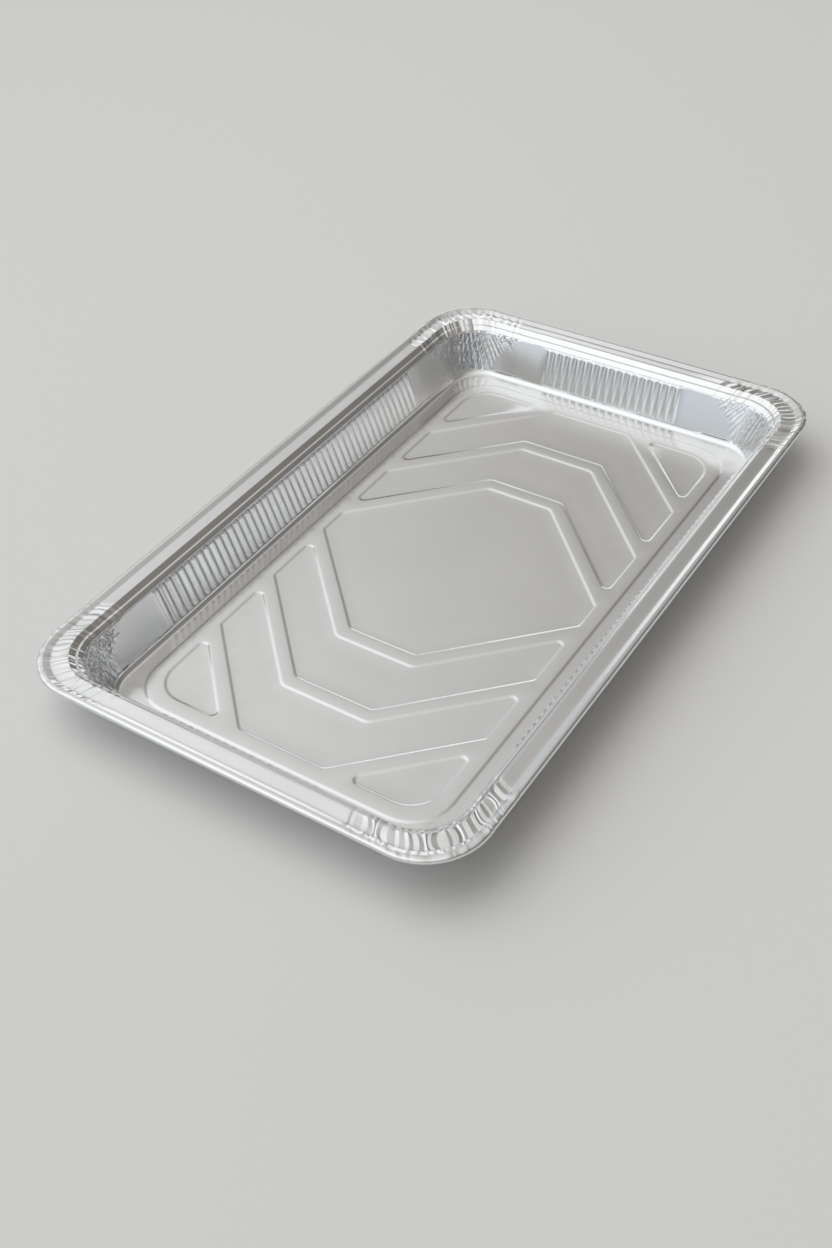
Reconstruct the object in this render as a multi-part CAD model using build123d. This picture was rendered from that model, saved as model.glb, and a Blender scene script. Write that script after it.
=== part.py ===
from build123d import *
import math
import os

# Full-size shallow foil tray: one drawn sheet of aluminium foil.
# The origin is at the centre of the underside, X runs along the length, Z is up.

# overall
length = 527.0            # outside of the curled rim, along X
width = 328.0             # outside of the curled rim, along Y
height = 40.0             # underside to the top of the rim
wall = 0.4                # thickness of the sheet
rim_corner = 42.0         # plan radius of the rim's corners
corner_tighten = 0.45     # how much that radius falls for each mm inward

# rim and shoulder: distances inward from the outside of the rim, drops below its top
bead_width = 4.1
bead_drop = 4.2
bead_radius = 1.85
groove = 7.0              # the flange is lowest here, in a groove beside the bead
groove_drop = 1.7
flange_end = 16.5         # the flange rises to here, then turns down
flange_end_drop = 0.5
step_run = 2.9            # slope from the flange down to the step
step_tread = 1.5          # small flat step in the shoulder
step_drop = 3.7
wall_top = 23.1
wall_top_drop = 6.5

# wall and foot: heights above the underside
wall_draft = 19.56        # lean of the wall from upright, degrees
wall_foot_height = 3.2
ledge_width = 0.45
ledge_fall = 0.9
cove_slope = 50.0         # steepness of the cove under the ledge, degrees
cove_radius = 3.0

# flutes pressed into the walls
flute_depth = 1.4
flute_pitch = 6.64
flute_valley_share = 0.35 # the valleys are this part of the rib and valley radii together
flute_fade = 1.8          # height over which each flute grows and dies away
flute_top_gap = 1.2       # plain wall above the flutes
flute_foot_gap = 0.6      # plain wall below the flutes
long_side_start = 108.0   # from the end of the rim to the first flute of a long side
short_side_start = 104.0  # the same on a short side

# embossed floor: a raised network with nine flat cells between its ribs
rib_height = 0.7
rib_slope = 65.0          # lean of the rib sides from upright, degrees
rib_bend = 1.2            # inner radius of the bends at the top and foot of a rib
channel_flat = 9.5        # flat channel between the cove and the network
panel_corner = 29.0       # plan radius of the network's corners
end_rib = 13.5            # rib between the channel and the cells, at the ends
side_rib = 12.0           # the same along the sides
upright_rib = 12.2        # rib between two cells where it crosses the middle
slant_rib = 17.1          # the same along the edge of the cells, where it slants
octagon_waist = 90.0      # half length of the middle cell
octagon_tip = 11.1        # half length of its flat ends
corner_cell_run = 54.6    # how far a corner cell runs along the side
corner_cell_start = 50.4  # from the middle of the tray to a corner cell
corner_cell_radius = 21.0
waists = [26.1, 30.9, 30.1, 33.9, 32.6]  # half width of the upright parts, middle to end
tip_radius = 3.0
bend_radius = 6.0


def rounded_line(points, shift):
    """Lines and arcs of the section, moved sideways by shift; returns Bezier control rows."""
    n = len(points)
    dirs = []
    for i in range(n - 1):
        a, b = points[i], points[i + 1]
        d = math.hypot(b[0] - a[0], b[1] - a[1])
        dirs.append(((b[0] - a[0]) / d, (b[1] - a[1]) / d))
    moved = []
    for i, p in enumerate(points):
        before = dirs[max(i - 1, 0)]
        after = dirs[min(i, n - 2)]
        na, nb = (-before[1], before[0]), (-after[1], after[0])
        k = shift / (1 + na[0] * nb[0] + na[1] * nb[1])
        moved.append((p[0] + (na[0] + nb[0]) * k, p[1] + (na[1] + nb[1]) * k))
    pieces, last = [], moved[0]
    for i in range(1, n):
        here, radius = moved[i], points[i][2]
        if i == n - 1 or not radius:
            pieces.append([(*last, 1.0), (*here, 1.0)])
            last = here
            continue
        d0, d1 = dirs[i - 1], dirs[i]
        turn = math.atan2(d0[0] * d1[1] - d0[1] * d1[0], d0[0] * d1[0] + d0[1] * d1[1])
        r = radius - shift if turn > 0 else radius + shift
        cut = r * math.tan(abs(turn) / 2)
        start = (here[0] - d0[0] * cut, here[1] - d0[1] * cut)
        end = (here[0] + d1[0] * cut, here[1] + d1[1] * cut)
        if math.dist(last, start) > 0.01:
            pieces.append([(*last, 1.0), (*start, 1.0)])
        pieces.append([(*start, 1.0), (*here, math.cos(turn / 2)), (*end, 1.0)])
        last = end
    return pieces


# middle of the sheet: distance in from the rim, height, bend radius
half = wall / 2
wall_run = math.tan(math.radians(wall_draft))
wall_top_z = height - wall_top_drop
foot_z = wall_foot_height
ledge_z = foot_z - ledge_fall
cove_run = (ledge_z - half) / math.tan(math.radians(cove_slope))
fade_top = wall_top_z - flute_top_gap
fade_foot = foot_z + flute_foot_gap


def on_wall(z):
    return wall_top + (wall_top_z - z) * wall_run


wall_foot = on_wall(foot_z)
cove_end = wall_foot + ledge_width + cove_run
floor_start = cove_end + cove_radius * math.tan(math.radians(cove_slope / 2)) + channel_flat / 2

profile = [
    (floor_start, half, 0),
    (cove_end, half, cove_radius),
    (wall_foot + ledge_width, ledge_z, 0.8),
    (wall_foot, foot_z, 0.9),
    (on_wall(fade_foot), fade_foot, 0),
    (on_wall(fade_foot + flute_fade), fade_foot + flute_fade, 0),
    (on_wall(fade_top - flute_fade), fade_top - flute_fade, 0),
    (on_wall(fade_top), fade_top, 0),
    (wall_top, wall_top_z, 1.4),
    (flange_end + step_run + step_tread, height - step_drop - 0.15, 0.7),
    (flange_end + step_run, height - step_drop, 0.7),
    (flange_end, height - flange_end_drop, 0.9),
    (groove, height - groove_drop, 1.6),
    (bead_width - 0.6, height - half, 1.2),
    (half, height - half, bead_radius),
    (half, height - bead_drop + half, bead_radius),
    (bead_width, height - bead_drop + half, 1.6),
    (bead_width, height - bead_drop + 1.9, 0),
]
inside = rounded_line(profile, -half)
outside = rounded_line(profile, half)
closing = [[(*inside[-1][-1][:2], 1.0), (*outside[-1][-1][:2], 1.0)]]


def corner_radius(s):
    return rim_corner - corner_tighten * s


def corner_patch(piece, sx, sy):
    rows, weights = [], []
    for s, z, w in piece:
        r = corner_radius(s)
        x0, y0 = length / 2 - s - r, width / 2 - s - r
        rows.append([
            (sx * (x0 + r), sy * y0, z),
            (sx * (x0 + r), sy * (y0 + r), z),
            (sx * x0, sy * (y0 + r), z),
        ])
        weights.append([w, w * math.sqrt(0.5), w])
    return Face.make_bezier_surface(rows, weights)


def side_patch(piece, place, spans):
    """Plain strip of one side between two runs along it."""
    rows = [[place(s, z, a), place(s, z, b)] for (s, z, _), (a, b) in zip(piece, spans)]
    return Face.make_bezier_surface(rows, [[w, w] for _, _, w in piece])


def flute_arcs(count, span, shift):
    """Plan outline of the flutes as arcs: round ribs, tighter valleys, ending in a valley."""
    pitch = span / count
    bend = 2 * math.atan(2 * flute_depth / pitch)
    both = pitch / 2 / math.sin(bend)
    valley = both * flute_valley_share
    arcs = []
    for k in range(2 * count + 1):
        middle = -span / 2 + k * pitch / 2
        if k % 2 == 0:
            radius, centre, way = valley - shift, valley, -1
        else:
            radius, centre, way = both - valley + shift, flute_depth - both + valley, 1
        left = 0 if k == 0 else -bend
        right = 0 if k == 2 * count else bend
        mean, spread = (left + right) / 2, (right - left) / 2
        arc = []
        for angle, reach, weight in (
            (left, radius, 1.0),
            (mean, radius / math.cos(spread), math.cos(spread)),
            (right, radius, 1.0),
        ):
            rise = centre + way * reach * math.cos(angle) - shift
            arc.append((middle + reach * math.sin(angle), rise, weight))
        arcs.append(arc)
    return arcs


def fluted_strips(pieces, place, count, span, shift):
    """The flutes of one side: every flute fades in, runs down the wall and fades out."""
    lean = math.hypot(1, wall_run)
    ends = [pieces[0][0][:2]] + [p[-1][:2] for p in pieces]
    strips = []
    for arc in flute_arcs(count, span, shift):
        rows = []
        for i, (s, z) in enumerate(ends):
            full = 1 if i in (1, 2) else 0
            rows.append([
                place(s + full * rise / lean, z + full * rise * wall_run / lean, u)
                for u, rise, _ in arc
            ])
        weights = [[w for _, _, w in arc]] * 2
        strips += [Face.make_bezier_surface([a, b], weights) for a, b in zip(rows, rows[1:])]
    return strips


def strip_beside_flutes(piece, place, half_run, count, span, shift, flutes_at_end):
    """Plain strip whose long edge next to the flutes is divided as they are."""
    edges = []
    for i, (s, z, _) in enumerate(piece):
        reach = half_run - s - corner_radius(s)
        stops = [-reach, reach]
        if (i == 1) == flutes_at_end:
            stops[1:1] = [-span / 2] + [arc[2][0] for arc in flute_arcs(count, span, shift)]
        points = [place(s, z, u) for u in stops]
        edges.append([Edge.make_line(p, q) for p, q in zip(points, points[1:])])
        edges.append(points)
    first, first_points, second, second_points = edges
    sides = [
        Edge.make_line(first_points[0], second_points[0]),
        Edge.make_line(first_points[-1], second_points[-1]),
    ]
    return Face(Wire(first + second + sides))


def is_fluted(piece):
    if len(piece) != 2 or piece[0][0] < wall_top - 1:
        return False
    z0, z1 = sorted((piece[0][1], piece[1][1]))
    return z0 > fade_foot - half and z1 < fade_top + half and z1 - z0 > flute_fade / 2


def along_x(sy):
    return lambda s, z, u: (u, sy * (width / 2 - s), z)


def along_y(sx):
    return lambda s, z, u: (sx * (length / 2 - s), u, z)


sides = []
for place, half_run, start in (
    (along_x(1), length / 2, long_side_start),
    (along_x(-1), length / 2, long_side_start),
    (along_y(1), width / 2, short_side_start),
    (along_y(-1), width / 2, short_side_start),
):
    span = 2 * (half_run - start)
    sides.append((place, half_run, round(span / flute_pitch), span))
faces = []
for skin, shift in ((inside, half), (outside, -half), (closing, 0)):
    strips = [i for i, piece in enumerate(skin) if is_fluted(piece)]
    for i, piece in enumerate(skin):
        faces += [corner_patch(piece, sx, sy) for sx in (-1, 1) for sy in (-1, 1)]
        for place, half_run, count, span in sides:
            ends = [half_run - s - corner_radius(s) for s, _, _ in piece]
            if i in strips:
                faces.append(side_patch(piece, place, [(-e, -span / 2) for e in ends]))
                faces.append(side_patch(piece, place, [(span / 2, e) for e in ends]))
            elif i + 1 in strips or i - 1 in strips:
                ahead = i + 1 in strips
                faces.append(strip_beside_flutes(piece, place, half_run, count, span, shift, ahead))
            else:
                faces.append(side_patch(piece, place, [(-e, e) for e in ends]))
    if strips:
        for place, _, count, span in sides:
            faces += fluted_strips([skin[i] for i in strips], place, count, span, shift)


def floor_outline(s, z):
    r = corner_radius(s)
    return Pos(0, 0, z) * RectangleRounded(length - 2 * s, width - 2 * s, r)


faces.append(floor_outline(floor_start, 0.0).face())
faces.append(floor_outline(floor_start, wall).face())
shell = Shell(faces)
body = Solid(shell)
print("drawn sheet", body.is_valid, round(body.volume, 1), len(faces))


def outline(points):
    """Closed outline with its own radius at every vertex."""
    pts = [p[:2] for p in points]
    edges, n = [], len(points)
    cuts = []
    for i, (x, y, r) in enumerate(points):
        a, b = pts[i - 1], pts[(i + 1) % n]
        d0 = Vector(x - a[0], y - a[1]).normalized()
        d1 = Vector(b[0] - x, b[1] - y).normalized()
        turn = abs(math.atan2(d0.X * d1.Y - d0.Y * d1.X, d0.dot(d1)))
        cut = r * math.tan(turn / 2)
        p = Vector(x, y)
        middle = p + (d1 - d0).normalized() * (r / math.cos(turn / 2) - r)
        cuts.append((p - d0 * cut, middle, p + d1 * cut))
    for i in range(n):
        start, middle, end = cuts[i]
        edges.append(Edge.make_three_point_arc(start, middle, end))
        edges.append(Edge.make_line(end, cuts[(i + 1) % n][0]))
    return Face(Wire(edges))


# the network and its cells at their feet; the chevrons share the room between
# the middle cell and the corner cells
panel_x = length / 2 - floor_start - channel_flat / 2
panel_y = width / 2 - floor_start - channel_flat / 2
cell_x = panel_x - end_rib
cell_y = panel_y - side_rib
chevron_waist = (cell_x - octagon_waist - 2 * upright_rib) / 2
chevron_tip = (cell_x - corner_cell_run - octagon_tip - 3 * slant_rib) / 2


def octagon():
    right = [
        (octagon_tip, -cell_y, tip_radius),
        (octagon_waist, -waists[0], bend_radius),
        (octagon_waist, waists[0], bend_radius),
        (octagon_tip, cell_y, tip_radius),
    ]
    return outline(right + [(-x, y, r) for x, y, r in reversed(right)])


def chevron(number, side):
    before = number * (chevron_waist + upright_rib)
    inner = octagon_waist + upright_rib + before
    inner_tip = octagon_tip + slant_rib + number * (chevron_tip + slant_rib)
    outer, outer_tip = inner + chevron_waist, inner_tip + chevron_tip
    low, high = waists[1 + 2 * number], waists[2 + 2 * number]
    points = [
        (inner_tip, -cell_y, tip_radius),
        (outer_tip, -cell_y, tip_radius),
        (outer, -high, bend_radius),
        (outer, high, bend_radius),
        (outer_tip, cell_y, tip_radius),
        (inner_tip, cell_y, tip_radius),
        (inner, low, bend_radius + 2),
        (inner, -low, bend_radius + 2),
    ]
    if side < 0:
        points = [(-x, y, r) for x, y, r in reversed(points)]
    return outline(points)


def corner_cell(sx, sy):
    points = [
        (cell_x - corner_cell_run, cell_y, tip_radius),
        (cell_x, corner_cell_start, tip_radius),
        (cell_x, cell_y, corner_cell_radius),
    ]
    points = [(sx * px, sy * py, r) for px, py, r in points]
    return outline(points if sx * sy > 0 else points[::-1])


cells = [octagon()]
cells += [chevron(number, side) for number in (0, 1) for side in (-1, 1)]
cells += [corner_cell(sx, sy) for sx in (-1, 1) for sy in (-1, 1)]
panel = RectangleRounded(2 * panel_x, 2 * panel_y, panel_corner).face()
print("panel", round(panel_x, 1), round(panel_y, 1), "cells", round(cell_x, 1), round(cell_y, 1))
print("chevron widths", round(chevron_waist, 1), round(chevron_tip, 1))

lean = math.tan(math.radians(rib_slope))
# upright gap between the two skins on a sloping rib side, measured level
gap = wall / math.cos(math.radians(rib_slope)) - wall * lean


def tapered(face, z, rise, grow):
    """Prism from height z upward whose sides lean by the rib slope."""
    taper = -rib_slope if grow else rib_slope
    return extrude(Pos(0, 0, z) * face, rise, taper=taper)


raised = tapered(panel, wall, rib_height, False)
hollow_panel = offset(panel, -gap).face()
hollow = tapered(hollow_panel, 0, rib_height, False)
for cell in cells:
    raised -= tapered(cell, wall, rib_height + 0.001, True)
    hollow -= tapered(offset(cell, gap).face(), -0.001, rib_height + 0.002, True)


def level_edges(shape, z):
    """Edges of the ribs that lie flat at one height."""
    found = []
    for edge in shape.edges():
        b = edge.bounding_box()
        inside_panel = max(-b.min.X, b.max.X) < panel_x + 1 and max(-b.min.Y, b.max.Y) < panel_y + 1
        if abs(b.min.Z - z) < 0.001 and abs(b.max.Z - z) < 0.001 and inside_panel:
            found.append(edge)
    return found


# soft bends: the same centre of bend on both faces of the sheet
raised = fillet(level_edges(raised, wall + rib_height), rib_bend + wall)
hollow = fillet(level_edges(hollow, rib_height), rib_bend)
tray = (body + raised - hollow).solid()
tray = fillet(level_edges(tray, wall), rib_bend).solid()
tray = fillet(level_edges(tray, 0), rib_bend + wall).solid()
box = tray.bounding_box()
print("tray", tray.is_valid, round(tray.volume, 1), len(tray.faces()), "faces")
print("size", round(box.size.X, 3), round(box.size.Y, 3), round(box.size.Z, 3))

os.makedirs("parts", exist_ok=True)
export_step(tray, "parts/tray.step")
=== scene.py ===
# %% [markdown]
# # An aluminium foil tray
# A full-size catering tray is one sheet of thin foil, pressed in a single stroke and curled at
# its edge. This lesson loads the measured model of it, then makes the sheet again as foil
# really looks: crisp flutes, a gathered rim at the corners, soft creases and a satin skin.

# %% Load the measured tray
import math

import bpy
import numpy as np
from mathutils import Matrix, Vector
from mathutils.geometry import delaunay_2d_cdt


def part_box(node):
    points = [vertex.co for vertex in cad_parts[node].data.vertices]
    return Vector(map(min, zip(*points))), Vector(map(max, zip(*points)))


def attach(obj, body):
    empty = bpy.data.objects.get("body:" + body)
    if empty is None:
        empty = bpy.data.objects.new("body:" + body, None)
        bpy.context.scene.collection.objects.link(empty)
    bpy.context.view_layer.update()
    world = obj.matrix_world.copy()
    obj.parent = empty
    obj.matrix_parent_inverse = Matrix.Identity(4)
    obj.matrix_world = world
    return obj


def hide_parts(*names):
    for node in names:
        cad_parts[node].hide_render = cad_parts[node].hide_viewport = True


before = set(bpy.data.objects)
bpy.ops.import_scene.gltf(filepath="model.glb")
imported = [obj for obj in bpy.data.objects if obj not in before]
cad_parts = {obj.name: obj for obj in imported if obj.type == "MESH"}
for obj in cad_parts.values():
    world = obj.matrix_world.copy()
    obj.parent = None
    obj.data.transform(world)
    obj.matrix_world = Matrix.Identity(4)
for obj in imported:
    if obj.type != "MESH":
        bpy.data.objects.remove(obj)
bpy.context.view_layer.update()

low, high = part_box("tray")
length, width, height = [(b - a) * 1000 for a, b in zip(low, high)]
print("tray in mm:", round(length, 1), round(width, 1), round(height, 1))

# %% [markdown]
# ## The section
# Cut the tray across and the foil shows one line: curled bead, groove, flange, stepped
# shoulder, leaning wall, small ledge, cove and floor. Each point below is how far it lies in from
# the outside of the rim, how high it stands, and the radius of the bend there, all in mm.
# Rounding a few named points keeps every fold under control, which a freehand curve would not.

# %% Section of the foil
foil = 0.12
half = foil / 2
bead_width, bead_drop, bead_bend = 4.1, 4.2, 1.85
curl_rise = 1.9  # the curled edge turns up this far inside the bead
groove, groove_drop = 7.0, 1.7
flange_end, flange_end_drop = 16.5, 0.5
step_start, step_end, step_drop, step_fall = 19.4, 20.9, 3.7, 0.15
wall_lean = math.tan(math.radians(19.56))
wall_top = (23.1, height - 6.5)
foot_height = 3.2
ledge_width, ledge_height = 0.45, 2.3
cove_slope, cove_bend = math.radians(50), 3.0

wall_foot = (wall_top[0] + (wall_top[1] - foot_height) * wall_lean, foot_height)
ledge = (wall_foot[0] + ledge_width, ledge_height)
cove_foot = (ledge[0] + (ledge[1] - half) / math.tan(cove_slope), half)


def on_flange(inset):
    """Point of the flange, which rises straight from the groove to its inner end."""
    rise = (groove_drop - flange_end_drop) * (inset - groove) / (flange_end - groove)
    return (inset, height - groove_drop + rise, 0)


rim_line = [
    (bead_width, height - bead_drop + curl_rise, 0),
    (bead_width, height - bead_drop + half, 1.6),
    (half, height - bead_drop + half, bead_bend),
    (half, height - half, bead_bend),
    (bead_width - 0.6, height - half, 1.2),
    (groove, height - groove_drop, 1.6),
    *(on_flange(inset) for inset in (9.5, 12.0, 14.5)),
    (flange_end, height - flange_end_drop, 0.9),
    (step_start, height - step_drop, 0.7),
    (step_end, height - step_drop - step_fall, 0.7),
    (*wall_top, 1.4),
    (wall_top[0] + 0.6 * wall_lean, wall_top[1] - 0.6, 0),
]
foot_line = [
    (wall_foot[0] - 0.5 * wall_lean, wall_foot[1] + 0.5, 0),
    (*wall_foot, 0.8),
    (*ledge, 0.7),
    (*cove_foot, cove_bend),
    (cove_foot[0] + 2.5, half, 0),
]
print("section: bead", bead_width, "mm wide, wall foot", round(wall_foot[0], 1), "mm in from the rim")

# %% Bends of the section
bend_step = 24  # at most this many degrees between two points of a bend


def rounded(points):
    """Follow the points, turning each corner on its radius."""
    line = [np.array(points[0][:2])]
    for before, (x, y, radius), after in zip(points, points[1:], points[2:]):
        here = np.array([x, y])
        if not radius:
            line.append(here)
            continue
        a = here - np.array(before[:2])
        b = np.array(after[:2]) - here
        a, b = a / np.linalg.norm(a), b / np.linalg.norm(b)
        turn = math.acos(max(-1, min(1, float(a @ b))))
        cut = radius * math.tan(turn / 2)
        start, end = here - a * cut, here + b * cut
        steps = max(2, math.ceil(math.degrees(turn) / bend_step))
        peak = math.cos(turn / 2)
        for k in range(steps + 1):
            t = k / steps
            w = [(1 - t) ** 2, 2 * t * (1 - t) * peak, t * t]
            line.append((w[0] * start + w[1] * here + w[2] * end) / sum(w))
    line.append(np.array(points[-1][:2]))
    return line


rim_rows, foot_rows = rounded(rim_line), rounded(foot_line)
print("rim rows", len(rim_rows), "foot rows", len(foot_rows))

# %% [markdown]
# ## Going round the tray
# The section is carried round four sides and four corners. A station is a number from 0 to 8:
# even whole numbers start a side, odd ones start a corner. A side has a smooth stretch, its
# flutes and another smooth stretch. The corner radius shrinks gently inward, as it does on a
# drawn tray, so the flange is a little wider at the corners than along the sides.

# %% Plan of the tray
rim_corner, corner_tighten = 42.0, 0.45  # plan radius at the rim, and its fall per mm inward
short_side_start, long_side_start = 104.0, 108.0  # from the end of the rim to the first flute
flute_half = {"short": width / 2 - short_side_start, "long": length / 2 - long_side_start}
smooth_share = 0.2  # part of a side's run of 1 that each smooth stretch takes


def kind_of_side(number):
    """Sides 0 and 4 are the short ones."""
    return "short" if number % 4 == 0 else "long"


def around(stations, inset):
    """Plan position, outward direction and distance along the side of every station."""
    stations = np.asarray(stations, float) % 8
    radius = rim_corner - corner_tighten * inset
    run = {"short": width / 2 - inset - radius, "long": length / 2 - inset - radius}
    out = {"short": length / 2 - inset, "long": width / 2 - inset}
    place = np.zeros((len(stations), 2))
    outward = np.zeros((len(stations), 2))
    along = np.zeros(len(stations))
    for i, station in enumerate(stations):
        number = int(station)
        t = station - number
        if number % 2 == 0:
            kind = kind_of_side(number)
            reach, fluted = run[kind], flute_half[kind]
            if t < smooth_share:
                u = -reach + t / smooth_share * (reach - fluted)
            elif t > 1 - smooth_share:
                u = reach - (1 - t) / smooth_share * (reach - fluted)
            else:
                u = fluted * (2 * (t - smooth_share) / (1 - 2 * smooth_share) - 1)
            angle = math.radians(45 * number)
            o = np.array([math.cos(angle), math.sin(angle)])
            place[i] = o * out[kind] + np.array([-o[1], o[0]]) * u
            outward[i], along[i] = o, u
        else:
            angle = math.radians(45 * (number - 1) + 90 * t)
            o = np.array([math.cos(angle), math.sin(angle)])
            middle = math.radians(45 * number)
            centre = np.sign([math.cos(middle), math.sin(middle)]) * [run["long"], run["short"]]
            place[i], outward[i] = centre + o * radius, o
    return place, outward, along


print("fluted half sides:", {kind: round(run, 1) for kind, run in flute_half.items()}, "mm")

# %% Distances round a corner
mid_flange = 10.0
mid_radius = rim_corner - corner_tighten * mid_flange
corner_arc = math.pi / 2 * mid_radius
# half of each straight side at the middle of the flange, to a micrometre
straight_half = {"short": round(width / 2 - mid_flange - mid_radius, 3),
                 "long": round(length / 2 - mid_flange - mid_radius, 3)}
smooth_run = {kind: straight_half[kind] - flute_half[kind] for kind in straight_half}


def near_corner(corner, distance):
    """Station at a distance in mm past the start of a corner's arc; less than 0 is before it."""
    if distance < 0:
        return corner + smooth_share * distance / smooth_run[kind_of_side(corner - 1)]
    if distance > corner_arc:
        beyond = distance - corner_arc
        return corner + 1 + smooth_share * beyond / smooth_run[kind_of_side((corner + 1) % 8)]
    return corner + distance / corner_arc


print("arc of a corner on the flange", round(corner_arc, 1), "mm")

# %% [markdown]
# ## Flutes
# The walls are stiffened by round upright ribs with tighter valleys between them. Seen from
# above, each is a circle's arc inward and a smaller arc outward, meeting smoothly. No two are
# pressed quite alike, so each has a strength of its own, drawn from a seeded list.

# %% Flutes
flute_depth, flute_pitch = 1.4, 6.64
valley_share = 0.33
flute_count = {kind: round(2 * run / flute_pitch) for kind, run in flute_half.items()}
rng = np.random.default_rng(41)
sides = (0, 2, 4, 6)
flute_strength = {side: rng.uniform(0.9, 1.06, 60) for side in sides}


def rib(across, pitch):
    """Height of the wave at a share of its pitch, 0 and 1 in the valleys."""
    bend = 2 * math.atan(2 * flute_depth / pitch)
    both = pitch / 2 / math.sin(bend)
    valley = valley_share * both
    crest = both - valley
    from_crest = np.abs(across - 0.5) * pitch
    on_crest = flute_depth - crest + np.sqrt(np.maximum(crest ** 2 - from_crest ** 2, 0))
    from_valley = pitch / 2 - from_crest
    in_valley = valley - np.sqrt(np.maximum(valley ** 2 - from_valley ** 2, 0))
    return np.where(from_crest < crest * math.sin(bend), on_crest, in_valley)


def flutes(stations, along):
    """How far each station's wall is pushed inward at mid height."""
    push = np.zeros(len(stations))
    for i, station in enumerate(np.asarray(stations) % 8):
        number = int(station)
        t = station - number
        if number % 2 or not smooth_share <= t <= 1 - smooth_share:
            continue
        kind = kind_of_side(number)
        count = flute_count[kind]
        place = (along[i] / flute_half[kind] + 1) / 2 * count
        one = min(int(place), count - 1)
        shape = rib(place - one, 2 * flute_half[kind] / count)
        push[i] = shape * flute_strength[number][one]
    return push


print("flutes on a long side and a short side:", flute_count["long"], flute_count["short"])

# %% [markdown]
# ## Gathers at the corners
# Flat foil pulled over a round corner has too much metal, which gathers into pleats. They are
# narrow flat facets with crisp folds, uneven in width and height, so the folds are laid out one
# by one from a seeded list instead of a smooth noise.

# %% Pleats of the flange and creases of the wall
corners = (1, 3, 5, 7)
lead = {"short": 29.0, "long": 34.0}  # how far the folds run on along a side, past a corner's arc
ease = 14.0  # how gently the folds grow from each end, in mm


def folds(corner, narrow, wide, seed):
    """Uneven fold lines round one corner: their distances, and their heights to each side."""
    rng = np.random.default_rng(seed + corner)
    start = -lead[kind_of_side(corner - 1)]
    stop = corner_arc + lead[kind_of_side((corner + 1) % 8)]
    where, heights, side = [start], [0.0], 1
    while where[-1] < stop - wide:
        gap = rng.uniform(narrow, wide)
        where.append(where[-1] + gap)
        heights.append(side * rng.uniform(0.35, 1.0) * min(1.0, gap / (0.7 * wide)))
        side = -side
    where.append(stop)
    heights.append(0.0)
    where = np.array(where)
    from_end = np.minimum(where - start, stop - where)
    return where, np.array(heights) * np.clip(0.25 + from_end / ease, 0, 1)


flange_folds = {c: folds(c, narrow=1.0, wide=4.4, seed=100) for c in corners}
bead_folds = {c: folds(c, narrow=0.8, wide=2.0, seed=200) for c in corners}
wall_folds = {c: folds(c, narrow=1.2, wide=2.4, seed=300) for c in corners}
print("folds at each corner:", [len(flange_folds[c][0]) for c in corners])


# %% Folded height at any station
def unroll(station):
    """Which corner a station is near, and its distance past the start of that corner's arc."""
    station = station % 8
    number = int(station)
    t = station - number
    if number % 2:
        return number, t * corner_arc
    kind = kind_of_side(number)
    if t > 0.5:
        return (number + 1) % 8, -(1 - t) / smooth_share * smooth_run[kind]
    return (number - 1) % 8, corner_arc + t / smooth_share * smooth_run[kind]


def fold_height(stations, table):
    """Folded height at every station, 0 away from the corners."""
    result = np.zeros(len(stations))
    for i, station in enumerate(stations):
        corner, distance = unroll(station)
        where, heights = table[corner]
        if where[0] < distance < where[-1]:
            result[i] = np.interp(distance, where, heights)
    return result


def zigzag(x):
    """Folded line from -1 to 1 that repeats every 1."""
    return 4 * np.abs(x - np.floor(x + 0.5)) - 1


def crumple(across, down, seed):
    """Small crossing facets from four zigzags, each leaning its own way down the sheet."""
    rng = np.random.default_rng(seed)
    total = 0.0
    for wavelength in (1.9, 2.7, 3.8, 5.5):
        lean = rng.uniform(-0.7, 0.7)
        total += zigzag((across + lean * down) / wavelength + rng.uniform(0, 1)) / 2
    return total


print("a corner's middle fold stands at", round(float(fold_height([1.5], flange_folds)[0]), 2))

# %% [markdown]
# ## Three bands of the sheet
# Long straight stretches need few vertices and gathered corners need many, so the rim, the wall
# and the foot each get their own stations. Neighbouring bands are stitched with triangles.

# %% Stations of each band
crease_reach = 26.0
crease_step = 0.92
flute_shares = (0.0, 0.13, 0.3, 0.5, 0.7, 0.87)  # closer together in the tight valleys


def along_flutes(side, share):
    """Station at a share of the fluted stretch of a side."""
    return side + smooth_share + (1 - 2 * smooth_share) * share


def smooth_stretches(side, steps):
    """Even stations on both smooth stretches of a side."""
    from_start = [smooth_share * k / steps for k in range(steps + 1)]
    return [side + t for t in from_start] + [side + 1 - t for t in from_start]


def corner_stations(corner, step, margin):
    """Even stations over a corner's arc, with a margin in mm on each side of it."""
    whole = corner_arc + margin + margin
    count = round(whole / step)
    return [near_corner(corner, -margin + k * whole / count) for k in range(count + 1)]


def fold_stations(corner, table):
    """A station on each side of every fold."""
    where = table[corner][0]
    spots = []
    for a, b in zip(where, where[1:]):
        edge = min(0.3, (b - a) * 0.2)
        spots += [a + edge, b - edge]
    return [near_corner(corner, d) for d in spots]


def in_order(stations, apart=0.0008):
    """Sorted once round the tray, with near repeats dropped."""
    ordered = np.sort(np.asarray(stations) % 8)
    keep = [ordered[0]]
    for s in ordered[1:]:
        if s - keep[-1] > apart:
            keep.append(s)
    return np.array(keep)


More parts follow.
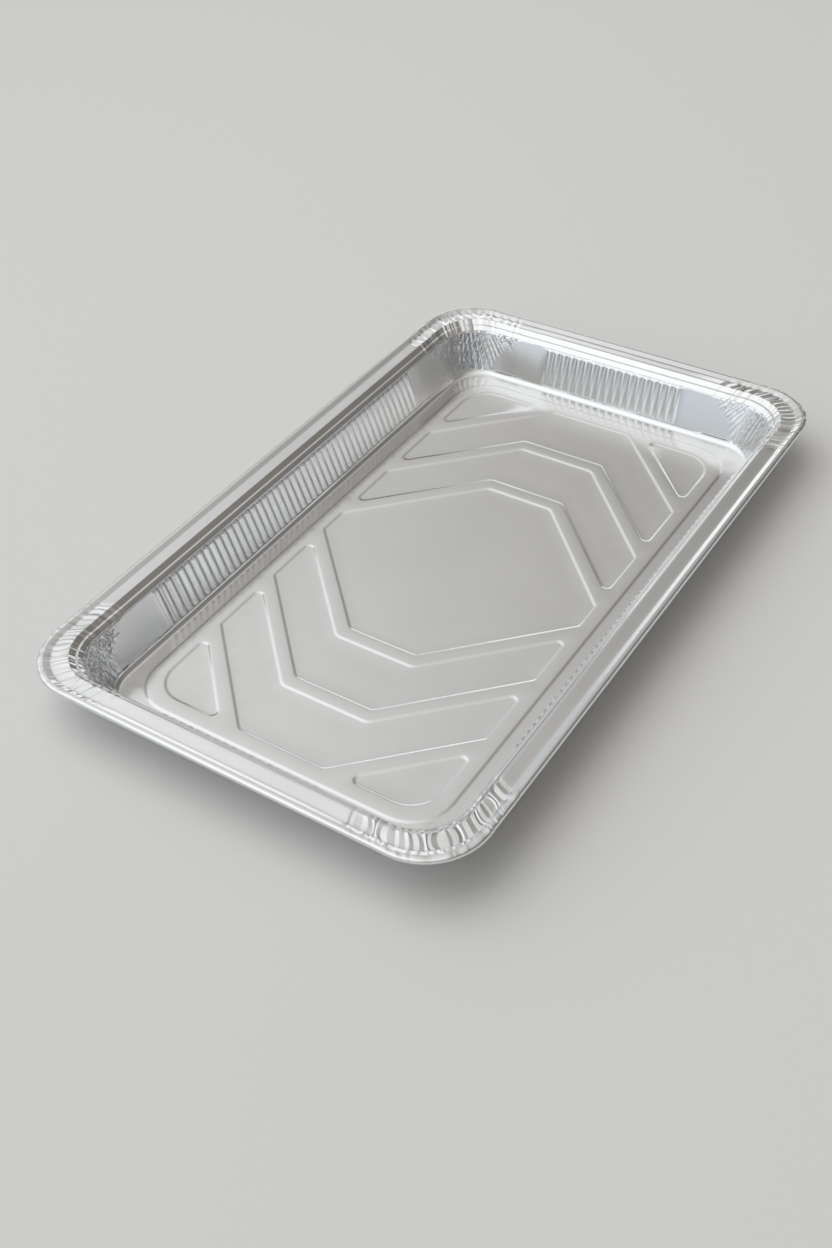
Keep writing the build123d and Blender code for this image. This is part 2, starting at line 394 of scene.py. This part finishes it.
rim_stations, wall_stations, foot_stations = [], [], []
for side in sides:
    count = flute_count[kind_of_side(side)]
    rim_steps, foot_steps = count // 2, 16
    rim_stations += [along_flutes(side, k / rim_steps) for k in range(rim_steps + 1)]
    wall_stations += [along_flutes(side, (k + share) / count)
                      for k in range(count) for share in flute_shares]
    wall_stations += smooth_stretches(side, 8)
    foot_stations += [along_flutes(side, k / foot_steps) for k in range(foot_steps + 1)]
    foot_stations += smooth_stretches(side, 6)
for corner in corners:
    rim_stations += fold_stations(corner, flange_folds)
    wall_stations += corner_stations(corner, crease_step, crease_reach)
    foot_stations += corner_stations(corner, 2.4, 6.0)
rim_stations = in_order(rim_stations)
wall_stations = in_order(wall_stations)
foot_stations = in_order(foot_stations)
print("stations: rim", len(rim_stations), "wall", len(wall_stations), "foot", len(foot_stations))

# %% [markdown]
# ## Laying the foil
# The foil is laid as one sheet along its middle, without thickness. A row of points is one
# height of the section carried round the stations, and a push moves each point along the
# sheet's own normal. A few small helpers lay the rows and stitch each one to the next.

# %% Rows of points
points, faces = [], []


def fade(x, start, end):
    """Smooth step from 0 at start to 1 at end."""
    t = min(1.0, max(0.0, (x - start) / (end - start)))
    return t * t * (3 - 2 * t)


def lay_row(stations, spot, normal, push):
    """One closed row of points; push moves it along the section's normal. Returns indices."""
    place, outward, _ = around(stations, spot[0])
    first = len(points)
    for p, o, amount in zip(place, outward, push):
        x, y = p - o * normal[0] * amount
        points.append((x, y, spot[1] + normal[1] * amount))
    return list(range(first, len(points)))


def normals(rows):
    """Unit normals of the section, pointing to the inside or top of the tray."""
    result = []
    for i in range(len(rows)):
        a, b = rows[max(i - 1, 0)], rows[min(i + 1, len(rows) - 1)]
        d = (b - a) / np.linalg.norm(b - a)
        result.append((-d[1], d[0]))
    return result


# %% Stitches between rows
def stitch(outer, outer_ids, inner, inner_ids):
    """Faces between two closed rows; quads where the stations agree, triangles where not."""
    if len(outer) == len(inner) and np.allclose(outer, inner):
        n = len(outer)
        faces.extend((outer_ids[k], outer_ids[(k + 1) % n], inner_ids[(k + 1) % n], inner_ids[k])
                     for k in range(n))
        return
    i = j = 0
    n, m = len(outer), len(inner)
    while i < n or j < m:
        next_outer = outer[(i + 1) % n] + (8 if i + 1 >= n else 0)
        next_inner = inner[(j + 1) % m] + (8 if j + 1 >= m else 0)
        if j >= m or (i < n and next_outer <= next_inner):
            faces.append((outer_ids[i % n], outer_ids[(i + 1) % n], inner_ids[j % m]))
            i += 1
        else:
            faces.append((outer_ids[i % n], inner_ids[(j + 1) % m], inner_ids[j % m]))
            j += 1


print("rows of the rim and foot to lay:", len(rim_rows) + len(foot_rows))

# %% [markdown]
# ## Rim
# The curl, flange and shoulder are plain along the sides. Round the corners the flange is
# pleated from the bead to the step, and the pleats lean a little this way and that. The bead
# is rolled over smaller folds, which dent it and show again at the flange's inner edge.

# %% Rim band: curl, flange and shoulder
pleat_height, bead_dent, edge_height = 0.82, 0.55, 0.45
pleats = fold_height(rim_stations, flange_folds)
serration = fold_height(rim_stations, bead_folds)
gathered = np.abs(pleats) > 0
flange_start = 5.5
long_lean, long_spacing = 1.6, 4.6
short_lean, short_spacing = 0.8, 2.6


def leaned(stations, inset):
    """Slides the gathered stations, so that the folds lean to and fro over the flange."""
    share = fade(inset, flange_start, 10.0) * (1 - fade(inset, 13.0, 17.0))
    result = []
    for station, folded in zip(stations, gathered):
        corner, distance = unroll(station)
        lean = long_lean * math.sin(distance / long_spacing + corner)
        lean += short_lean * math.sin(distance / short_spacing)
        result.append(near_corner(corner, distance + share * lean) if folded and share else station)
    return result


last = None
for spot, normal in zip(rim_rows, normals(rim_rows)):
    inset, up = spot
    if inset < flange_start:
        push = -bead_dent * (serration + 1) / 2 * gathered * fade(up, height - 3.2, height - 2.0)
    else:
        over_edge = 1 - 0.6 * fade(inset, 15.5, 18.5)
        push = pleat_height * fade(inset, flange_start, 7.5) * over_edge * (pleats - 0.25 * gathered)
        push = push + edge_height * fade(inset, 14.5, 17.0) * serration
    ids = lay_row(leaned(rim_stations, inset), spot, normal, push)
    if last:
        stitch(rim_stations, last, rim_stations, ids)
    else:
        curl_end = ids
    last = ids
print("rim:", len(points), "points")

# %% [markdown]
# ## Wall
# A flute is straight for most of its height and ends in a short fade, while a creased corner
# needs even facets from top to bottom. So the wall is built from upright columns, each with
# rows of its own, and neighbouring columns are zipped together. A row just past each fade
# keeps its soft shading from spreading along the straight part of the flutes.

# %% Wall band: flutes and their fades
top_z, foot_z = rim_rows[-1][1], foot_rows[0][1]
fade_top, full_top, full_foot = 32.4, 31.1, 4.6
flute_rows = [top_z, fade_top, 32.0, 31.6, 31.2, 30.8, 18.0, 5.0, 4.5, 4.1, foot_z]
mid_wall = 28.0
_, _, wall_along = around(wall_stations, mid_wall)
wave = flutes(wall_stations, wall_along)


def flute_fade(z):
    """Share of a flute's depth at a height: full in between, 0 at the foot and at the top."""
    return fade(z, foot_z, full_foot) * (1 - fade(z, full_top, fade_top))


print("flutes run from", round(foot_z, 1), "to", fade_top, "mm high")

# %% [markdown]
# ## Crushed corners of the wall
# The gathered metal of the rim runs on down the corner walls as creases, which fan out and
# die away toward the foot. Sharp folds with small crossing facets look right where a smooth
# noise would look like dough. The creased points are also remembered, so that the faces
# between them can be shaded flat.

# %% Creases of the corner walls
crease_rows = list(np.linspace(top_z, foot_z, 23))
crease_height, crumple_height = 0.50, 0.15
longest_crease, shortest_crease = 40.0, 12.0
fan_out = 30.0  # how far down the creases have spread to twice their spacing


def crease(corner, distance, down):
    """Push of the creases that fan out and fade on the way down from a gathered corner."""
    from_middle = distance - corner_arc / 2
    outside = abs(from_middle) / (corner_arc / 2)
    reach = longest_crease - (longest_crease - shortest_crease) * fade(outside, 0.5, 1.5)
    strength = (1 - fade(down, 0.35 * reach, reach)) * (1 - fade(outside, 1.35, 1.85))
    strength *= fade(down, -0.5, 2.5)
    where, heights = wall_folds[corner]
    fan = corner_arc / 2 + from_middle / (1 + down / fan_out)
    main = np.interp(fan, where, heights)
    return strength * (crease_height * main + crumple_height * crumple(distance, down, corner))


print("crease at a corner's middle, 10 mm down:", round(float(crease(1, corner_arc / 2, 10.0)), 2), "mm")


# %% Upright columns of the wall
def zip_columns(left, left_heights, right, right_heights):
    """Faces between two upright columns of points that may have different rows."""
    i = j = 0
    while i < len(left) - 1 or j < len(right) - 1:
        next_left = left_heights[i + 1] if i < len(left) - 1 else -1e9
        next_right = right_heights[j + 1] if j < len(right) - 1 else -1e9
        if abs(next_left - next_right) < 1e-6:
            faces.append((left[i], right[j], right[j + 1], left[i + 1]))
            i, j = i + 1, j + 1
        elif next_left > next_right:
            faces.append((left[i], right[j], left[i + 1]))
            i += 1
        else:
            faces.append((left[i], right[j], right[j + 1]))
            j += 1


tall = math.hypot(1, wall_lean)
wall_normal = (1 / tall, wall_lean / tall)
flat_enough = 0.02  # a point pushed less than this in mm stays smooth
columns, crumpled = [], set()
for station, amount in zip(wall_stations, wave):
    corner, distance = unroll(station)
    creased = -crease_reach <= distance <= corner_arc + crease_reach
    rows = crease_rows if creased else flute_rows
    place_by_row = [around([station], wall_top[0] + (wall_top[1] - z) * wall_lean) for z in rows]
    ids = []
    for z, (place, outward, _) in zip(rows, place_by_row):
        push = amount * flute_fade(z)
        if creased:
            push += crease(corner, distance, top_z - z)
        x, y = place[0] - outward[0] * wall_normal[0] * push
        if creased and abs(push) > flat_enough:
            crumpled.add(len(points))
        ids.append(len(points))
        points.append((x, y, z + wall_normal[1] * push))
    columns.append((ids, rows))
for (left, left_rows), (right, right_rows) in zip(columns, columns[1:] + columns[:1]):
    zip_columns(left, left_rows, right, right_rows)
stitch(rim_stations, last, wall_stations, [ids[0] for ids, _ in columns])
last, last_stations = [ids[-1] for ids, _ in columns], wall_stations
print("wall:", len(points), "points and", len(crumpled), "of them crumpled")

# %% [markdown]
# ## Foot
# Below the wall a narrow ledge turns into the cove that meets the flat floor. It is plain all
# the way round, so a few rows on coarse stations are enough.

# %% Foot band: ledge and cove
for spot, normal in zip(foot_rows, normals(foot_rows)):
    ids = lay_row(foot_stations, spot, normal, np.zeros(len(foot_stations)))
    stitch(last_stations, last, foot_stations, ids)
    last, last_stations = ids, foot_stations
print("foot:", len(points), "points,", len(faces), "faces")

# %% [markdown]
# ## The embossed floor
# Stiffening ribs form a raised network with nine flat cells: an octagon, two chevrons on each
# side of it and a rounded triangle in every corner. Each outline is drawn once, then copied
# sideways in rings that climb the side of the rib. One triangulation then joins all the rings.

# %% Sizes of the network
rib_height = 0.7
rib_side = rib_height * math.tan(math.radians(65))
end_rib, side_rib, upright_rib, slant_rib = 13.5, 12.0, 12.2, 17.1
panel_inset, panel_corner = 47.0, 29.0
panel_x, panel_y = length / 2 - panel_inset, width / 2 - panel_inset
cell_x, cell_y = panel_x - end_rib, panel_y - side_rib
octagon_waist, octagon_tip = 90.0, 11.1
triangle_run, triangle_start, triangle_corner = 54.6, 50.4, 21.0
chevron_waist = (cell_x - octagon_waist - 2 * upright_rib) / 2
chevron_tip = (cell_x - triangle_run - octagon_tip - 3 * slant_rib) / 2
waists = [26.1, 30.9, 30.1, 33.9, 32.6]  # half width of the upright edges, from the middle out
tip_bend, waist_bend = 3.0, 6.0
print("chevrons", round(chevron_waist, 1), "mm wide at the waist and", round(chevron_tip, 1), "at the tips")


# %% Rounded outlines
def outline(corners_of_cell):
    """Rounded outline of corners given as x, y and radius, with the outward direction at each point."""
    n = len(corners_of_cell)
    spots, ways = [], []
    for i, (x, y, radius) in enumerate(corners_of_cell):
        here = np.array([x, y])
        a = here - np.array(corners_of_cell[i - 1][:2])
        b = np.array(corners_of_cell[(i + 1) % n][:2]) - here
        a, b = a / np.linalg.norm(a), b / np.linalg.norm(b)
        turn = math.atan2(a[0] * b[1] - a[1] * b[0], float(a @ b))
        side = 1 if turn > 0 else -1
        start = here - a * radius * math.tan(abs(turn) / 2)
        centre = start + side * radius * np.array([-a[1], a[0]])
        steps = max(2, math.ceil(abs(math.degrees(turn)) / 14))
        for k in range(steps + 1):
            angle = turn * k / steps
            c, s = math.cos(angle), math.sin(angle)
            way = np.array([c * a[1] + s * a[0], -c * a[0] + s * a[1]])
            spots.append(centre + side * radius * way)
            ways.append(way)
    return np.array(spots), np.array(ways)


def mirrored(corners_of_cell, sx, sy):
    """Copy of an outline across one or both axes, still drawn the same way round."""
    flipped = [(sx * x, sy * y, r) for x, y, r in corners_of_cell]
    return flipped if sx * sy > 0 else flipped[::-1]


panel = [(x, y, panel_corner) for x, y in
         ((panel_x, -panel_y), (panel_x, panel_y), (-panel_x, panel_y), (-panel_x, -panel_y))]
print("panel", round(2 * panel_x), "by", round(2 * panel_y), "mm")


# %% The nine cells
def octagon():
    """The middle cell."""
    right = [(octagon_tip, -cell_y, tip_bend), (octagon_waist, -waists[0], waist_bend),
             (octagon_waist, waists[0], waist_bend), (octagon_tip, cell_y, tip_bend)]
    return right + [(-x, y, r) for x, y, r in reversed(right)]


def chevron(number):
    """Chevron 0 lies beside the octagon and chevron 1 beyond it."""
    inner = octagon_waist + upright_rib + number * (chevron_waist + upright_rib)
    inner_tip = octagon_tip + slant_rib + number * (chevron_tip + slant_rib)
    near, far = waists[1 + 2 * number], waists[2 + 2 * number]
    outer, outer_tip = inner + chevron_waist, inner_tip + chevron_tip
    return [(inner_tip, -cell_y, tip_bend), (outer_tip, -cell_y, tip_bend), (outer, -far, waist_bend),
            (outer, far, waist_bend), (outer_tip, cell_y, tip_bend), (inner_tip, cell_y, tip_bend),
            (inner, near, waist_bend + 2), (inner, -near, waist_bend + 2)]


triangle = [(cell_x - triangle_run, cell_y, tip_bend), (cell_x, triangle_start, tip_bend),
            (cell_x, cell_y, triangle_corner)]
cells = [octagon()]
cells += [mirrored(chevron(number), sx, 1) for number in (0, 1) for sx in (1, -1)]
cells += [mirrored(triangle, sx, sy) for sx in (1, -1) for sy in (1, -1)]
print("cells", len(cells))

# %% Rings that climb the ribs
soft = 0.7  # width of the bend at the foot and at the top of a rib's side
climb_steps = 7
climb = [(-soft + (rib_side + 2 * soft) * k / climb_steps, fade(k / climb_steps, 0, 1))
         for k in range(climb_steps + 1)]


def spread(spots, ways, longest=9.0):
    """Adds points along the straight runs so that no gap is too long."""
    more_spots, more_ways = [], []
    for i in range(len(spots)):
        j = (i + 1) % len(spots)
        gap = np.linalg.norm(spots[j] - spots[i])
        pieces_of_run = max(1, math.ceil(gap / longest))
        for k in range(pieces_of_run):
            t = k / pieces_of_run
            more_spots.append(spots[i] * (1 - t) + spots[j] * t)
            way = ways[i] * (1 - t) + ways[j] * t
            more_ways.append(way / np.linalg.norm(way))
    return np.array(more_spots), np.array(more_ways)


flat_points = [tuple(points[i][:2]) for i in last]
flat_heights = [half] * len(last)
edges_kept = [(k, (k + 1) % len(last)) for k in range(len(last))]
shapes = [(*spread(*outline(panel)), -1)] + [(*spread(*outline(c)), 1) for c in cells]
for spots, ways, sign in shapes:
    for step, share in climb:
        first, n = len(flat_points), len(spots)
        for p, w in zip(spots, ways):
            flat_points.append(tuple(p + sign * step * w))
            flat_heights.append(half + rib_height * share)
        edges_kept += [(first + k, first + (k + 1) % n) for k in range(n)]
print("ring points", len(flat_points))


# %% Tests against a closed outline
def inside_of(spots, x, y):
    """Whether each point lies within a closed outline."""
    within = np.zeros(len(x), bool)
    for (x0, y0), (x1, y1) in zip(spots, np.roll(spots, -1, axis=0)):
        crosses = (y0 > y) != (y1 > y)
        with np.errstate(divide="ignore", invalid="ignore"):
            at = (x1 - x0) * (y - y0) / (y1 - y0) + x0
        within ^= crosses & (x < at)
    return within


def nearest(spots, x, y):
    """Distance from each point to a closed outline."""
    result = np.full(len(x), 1e9)
    for (x0, y0), (x1, y1) in zip(spots, np.roll(spots, -1, axis=0)):
        run_x, run_y = x1 - x0, y1 - y0
        t = np.clip(((x - x0) * run_x + (y - y0) * run_y) / (run_x ** 2 + run_y ** 2 + 1e-12), 0, 1)
        result = np.minimum(result, np.hypot(x - x0 - t * run_x, y - y0 - t * run_y))
    return result


print("the middle is", round(float(nearest(shapes[1][0], np.zeros(1), np.zeros(1))[0]), 1),
      "mm from the octagon's edge")

# %% Points of the flats between the rings
(reach_x, reach_y), (step_x, step_y) = (210, 112), (10.5, 10.2)
grid_x, grid_y = np.meshgrid(np.arange(-reach_x, reach_x + 1, step_x),
                             np.arange(-reach_y, reach_y + 1, step_y))
grid_x, grid_y = grid_x.ravel(), grid_y.ravel()
from_foot, from_rib = 4.0, rib_side + soft + 1.5  # nearer points would mark the cove or the ribs
clear = nearest(np.array(flat_points[:len(last)]), grid_x, grid_y) > from_foot
for spots, _, _ in shapes:
    clear &= nearest(spots, grid_x, grid_y) > from_rib
grid_x, grid_y = grid_x[clear], grid_y[clear]
in_cell = np.zeros(len(grid_x), bool)
for spots, _, _ in shapes[1:]:
    in_cell |= inside_of(spots, grid_x, grid_y)
for x, y, low in zip(grid_x, grid_y, in_cell):
    flat_points.append((x, y))
    flat_heights.append(half if low else half + rib_height)
print("points on the flats", len(grid_x))

# %% One triangulation of the floor
made, _, triangles, came_from, _, _ = delaunay_2d_cdt(
    [Vector(p) for p in flat_points], edges_kept, [], 0, 1e-5)
ids = []
for spot, sources in zip(made, came_from):
    source = sources[0]
    if source < len(last):
        ids.append(last[source])
    else:
        ids.append(len(points))
        points.append((spot[0], spot[1], flat_heights[source]))
faces += [tuple(ids[k] for k in three) for three in triangles]
print("floor:", len(triangles), "triangles; whole sheet", len(points), "points")

# %% [markdown]
# ## Slack in the sheet
# No foil is perfectly flat. A few broad, shallow swells let the flat parts catch the light
# unevenly. They only lift the foil, so the tray still stands on its flats.

# %% Broad swells
swell_height = 0.05
sheet = np.array(points)
rng = np.random.default_rng(9)
swell = np.zeros(len(sheet))
for _ in range(14):
    wavelength = rng.uniform(45, 130)
    angle, phase = rng.uniform(0, math.pi), rng.uniform(0, 2 * math.pi)
    along_wave = sheet[:, 0] * math.cos(angle) + sheet[:, 1] * math.sin(angle)
    swell += np.sin(along_wave * 2 * math.pi / wavelength + phase)
swell = (swell - swell.min()) / (swell.max() - swell.min())
on_floor = np.clip((10.0 - sheet[:, 2]) / 8.0, 0, 1)
lift = swell_height * swell * on_floor
sheet[:, 2] += lift
print("swells lift the floor by up to", round(float(lift.max()), 2), "mm")

# %% [markdown]
# ## Giving it thickness
# Foil has two faces. The sheet is copied along its normals to each side of its middle, and the
# raw edge hidden inside the curl is closed, so the mesh is one watertight skin. Every face is
# smooth except the crumpled facets, which catch the light one by one.

# %% Two skins and the raw edge
middle = bpy.data.meshes.new("foil_middle")
middle.from_pydata([tuple(p) for p in sheet], [], faces)
middle.validate()
middle.update()
normal = np.array([v.normal[:] for v in middle.vertices])
upward = 1.0 if normal[last[0]][2] > 0 else -1.0
n = len(sheet)
both = np.vstack([sheet + upward * normal * half, sheet - upward * normal * half])
both[:, 2] = np.clip(both[:, 2], 0.0, height)
skin = [f if upward > 0 else f[::-1] for f in faces]
under = [tuple(i + n for i in f[::-1]) for f in skin]
closing = []
for a, b in zip(curl_end, curl_end[1:] + curl_end[:1]):
    closing.append((b, a, a + n, b + n) if upward > 0 else (a, b, b + n, a + n))
bpy.data.meshes.remove(middle)
print("faces:", len(skin), "above,", len(under), "below and", len(closing), "along the raw edge")

# %% The tray's mesh
tray_mesh = bpy.data.meshes.new("foil_tray")
tray_mesh.from_pydata([tuple(p * 0.001) for p in both], [], skin + under + closing)
tray_mesh.validate()
tray_mesh.update()
for polygon in tray_mesh.polygons:
    polygon.use_smooth = not all(i % n in crumpled for i in polygon.vertices)
tray = bpy.data.objects.new("foil_tray", tray_mesh)
bpy.context.collection.objects.link(tray)
triangle_count = sum(len(p.vertices) - 2 for p in tray_mesh.polygons)
print("foil tray:", triangle_count, "triangles")

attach(tray, "root")
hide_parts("tray")

# %% [markdown]
# ## Shader sums as plain Python
# Two small helpers keep materials readable. A Wire is a socket that can be added, multiplied
# or subtracted like a number. A Finish owns one material, or the surroundings, and makes any
# other node.


# %% A socket in ordinary sums
class Wire:
    """A shader value that can be used in ordinary sums."""

    def __init__(self, tree, socket):
        self.tree, self.socket = tree, socket

    def _sum(self, operation, a, b):
        node = self.tree.nodes.new("ShaderNodeMath")
        node.operation = operation
        for socket, value in zip(node.inputs, (a, b)):
            if isinstance(value, Wire):
                self.tree.links.new(value.socket, socket)
            else:
                socket.default_value = value
        return Wire(self.tree, node.outputs[0])

    def __add__(self, other):
        return self._sum("ADD", self, other)

    def __radd__(self, other):
        return self._sum("ADD", other, self)

    def __sub__(self, other):
        return self._sum("SUBTRACT", self, other)

    def __rsub__(self, other):
        return self._sum("SUBTRACT", other, self)

    def __mul__(self, other):
        return self._sum("MULTIPLY", self, other)

    def __rmul__(self, other):
        return self._sum("MULTIPLY", other, self)


print("Wire:", Wire.__doc__)


# %% The nodes of one finish
class Finish:
    """The nodes of one material, or of the studio's surroundings."""

    def __init__(self, owner, shader="Principled BSDF"):
        owner.use_nodes = True
        self.owner, self.tree = owner, owner.node_tree
        self.shader = self.tree.nodes[shader]

    def node(self, kind, settings=None, sockets=None, out=0):
        """Make a node: its settings first, then the values or links of its sockets."""
        node = self.tree.nodes.new(kind)
        for name, value in (settings or {}).items():
            setattr(node, name, value)
        self.join(node, sockets or {})
        return Wire(self.tree, node.outputs[out])

    def join(self, node, sockets):
        """Link the wires and set the plain values."""
        for name, value in sockets.items():
            if isinstance(value, Wire):
                self.tree.links.new(value.socket, node.inputs[name])
            else:
                node.inputs[name].default_value = value


print("Finish:", Finish.__doc__)

# %% [markdown]
# ## Satin aluminium
# Rolled foil is bright but not a mirror. The rolls leave hair-fine lines along the sheet, and
# the lubricant and handling leave faint clouds. Lines and clouds steer the roughness, lines
# and a fine grain make a very shallow bump, and the clouds also shade the colour a little.

# %% Foil finish
satin = Finish(bpy.data.materials.new("satin foil"))
place = satin.node("ShaderNodeTexCoord", out="Object")
stretched = satin.node("ShaderNodeMapping", {"vector_type": "POINT"},
                       {"Vector": place, "Scale": (6, 900, 900)})
lines = satin.node("ShaderNodeTexNoise", {"noise_dimensions": "3D"},
                   {"Vector": stretched, "Scale": 1.0, "Detail": 3.0})
clouds = satin.node("ShaderNodeTexNoise", {}, {"Vector": place, "Scale": 14.0, "Detail": 4.0})
grain = satin.node("ShaderNodeTexNoise", {}, {"Vector": place, "Scale": 900.0, "Detail": 2.0})
colour = satin.node("ShaderNodeMix", {"data_type": "RGBA"},
                    {0: clouds, 6: (0.80, 0.80, 0.79, 1), 7: (0.90, 0.90, 0.89, 1)}, out=2)
roughness = 0.14 + 0.07 * clouds + 0.03 * lines
relief = lines * 0.6 + grain * 0.4
bump = satin.node("ShaderNodeBump", {}, {"Height": relief, "Strength": 0.06, "Distance": 0.0004})
satin.join(satin.shader, {"Base Color": colour, "Roughness": roughness, "Normal": bump, "Metallic": 1.0})
tray.data.materials.append(satin.owner)
print("finish:", satin.owner.name, len(satin.tree.nodes), "nodes")

# %% [markdown]
# ## Stage
# The tray stands on a plain pale floor, so wide that its edge is far off in every view. Faint
# patches keep it from looking like paper.

# %% Pale floor
far = 40
stage_mesh = bpy.data.meshes.new("floor")
stage_mesh.from_pydata([(-far, -far, 0), (far, -far, 0), (far, far, 0), (-far, far, 0)], [], [(0, 1, 2, 3)])
stage = bpy.data.objects.new("floor", stage_mesh)
bpy.context.collection.objects.link(stage)
pale = Finish(bpy.data.materials.new("pale floor"))
patches = pale.node("ShaderNodeTexNoise", {}, {"Scale": 10.0, "Detail": 2.0})
tint = pale.node("ShaderNodeMix", {"data_type": "RGBA"},
                 {0: patches, 6: (0.60, 0.595, 0.585, 1), 7: (0.64, 0.637, 0.63, 1)}, out=2)
pale.join(pale.shader, {"Base Color": tint, "Roughness": 0.85})
stage.data.materials.append(pale.owner)
print("floor", 2 * far, "m square")

# %% [markdown]
# ## Soft light
# Metal shows mostly what it reflects, so the room around it matters more than the lamps. The
# surroundings glow like a room with one big window to the far left: each direction is as
# bright as it points that way, with a softer glow high up behind the camera, and a darker,
# cooler band low down. It depends on direction alone, so it is the same from every view.

# %% Glow of the surroundings
world = bpy.context.scene.world or bpy.data.worlds.new("studio")
bpy.context.scene.world = world
room = Finish(world, "Background")
way = room.node("ShaderNodeTexCoord", out="Generated")


def toward(direction):
    """How far each direction points this way: 1 straight at it, -1 away from it."""
    return room.node("ShaderNodeVectorMath", {"operation": "DOT_PRODUCT"},
                     {0: way, 1: Vector(direction).normalized()}, out="Value")


window = 0.5 + 0.5 * toward((-0.433, 0.75, 0.5))
behind = 0.5 + 0.5 * toward((-0.60, -0.47, 0.65))
window_squared = window * window
glare = window_squared * window_squared * window_squared * window_squared
wall_glow = room.node("ShaderNodeClamp", {}, {"Value": 1.64 * window - 0.54, "Min": 0.17, "Max": 0.97})
rise = toward((0, 0, 1))
near_horizon = room.node("ShaderNodeMapRange", {"interpolation_type": "SMOOTHSTEP"},
                         {"Value": rise, "From Min": 0.02, "From Max": 0.34, "To Min": 1.0, "To Max": 0.0})
ahead = room.node("ShaderNodeClamp", {}, {"Value": 1.5 * toward((0.63, 0.77, 0)), "Min": 0.0, "Max": 1.0})
overhead = room.node("ShaderNodeMapRange", {"interpolation_type": "SMOOTHSTEP"},
                     {"Value": rise, "From Min": 0.15, "From Max": 0.6, "To Min": 0.0, "To Max": 1.0})
behind_glow = behind * behind * behind * behind * overhead
shade = 1 - near_horizon * (0.08 + 0.5 * ahead)
brightness = (wall_glow + 0.2 * glare) * shade + 0.30 * behind_glow
print("surroundings:", len(room.tree.nodes), "nodes so far")

# %% Colour of the surroundings
tone = room.node("ShaderNodeMix", {"data_type": "RGBA"},
                 {0: window, 6: (1.0, 0.90, 0.80, 1), 7: (0.94, 0.97, 1.0, 1)}, out=2)
low_down = room.node("ShaderNodeMapRange", {"interpolation_type": "SMOOTHSTEP"},
                     {"Value": rise, "From Min": 0.1, "From Max": 0.5, "To Min": 0.85, "To Max": 0.0})
cooler = room.node("ShaderNodeMix", {"data_type": "RGBA"},
                   {0: low_down, 6: tone, 7: (0.79, 0.89, 1.0, 1)}, out=2)
room.join(room.shader, {"Color": cooler, "Strength": brightness})
print("surroundings:", len(room.tree.nodes), "nodes")

# %% [markdown]
# ## Soft boxes
# One large box lights the floor evenly and is hidden from reflections, so the foil keeps its
# greys. Two more stand low down and put the bright lines on the shoulder and the bead.


# %% Soft boxes
def soft_box(name, place, aim, size, power, colour):
    """A rectangular area light at a place, turned toward its aim."""
    light = bpy.data.lights.new(name, "AREA")
    light.shape, light.size, light.size_y = "RECTANGLE", size[0], size[1]
    light.energy, light.color = power, colour
    lamp = bpy.data.objects.new(name, light)
    lamp.location = place
    lamp.rotation_euler = (Vector(aim) - Vector(place)).to_track_quat("-Z", "Y").to_euler()
    bpy.context.collection.objects.link(lamp)
    return lamp


fill = soft_box("floor fill", (-0.4, 0.8, 2.6), (0, 0, 0), (2.6, 2.6), 30, (1.0, 0.985, 0.96))
fill.visible_glossy = False
soft_box("low far", (2.9, 1.15, 0.62), (0, 0, 0.05), (2.8, 0.8), 6.6, (1.0, 1.0, 1.0))
soft_box("low right", (1.7, -2.1, 0.5), (0, 0, 0.05), (0.9, 0.5), 1.0, (0.78, 0.88, 1.0))
bpy.context.scene.view_settings.view_transform = "Standard"
print("lights:", [light.name for light in bpy.data.lights])

# %% [markdown]
# ## Camera
# The camera looks down over the near left corner of the tray, turned a little on its own axis.

# %% Camera
camera_place = Vector((-0.6484, -0.4279, 0.6436))
heading, look_down, roll = math.radians(35.62), math.radians(41.85), math.radians(-3.70)
forward = Vector((math.cos(look_down) * math.cos(heading), math.cos(look_down) * math.sin(heading),
                  -math.sin(look_down)))
level = Vector((math.sin(heading), -math.cos(heading), 0))
skyward = level.cross(forward)
right = level * math.cos(roll) + skyward * math.sin(roll)
above = right.cross(forward)
lens = bpy.data.cameras.new("camera")
lens.lens, lens.sensor_width, lens.sensor_fit = 41.12, 36.0, "AUTO"
camera = bpy.data.objects.new("camera", lens)
turned = Matrix((right, above, -forward)).transposed().to_4x4()
camera.matrix_world = Matrix.Translation(camera_place) @ turned
bpy.context.collection.objects.link(camera)
bpy.context.scene.camera = camera
print("camera", [round(v, 3) for v in camera_place])

# %% [markdown]
# ## Finish
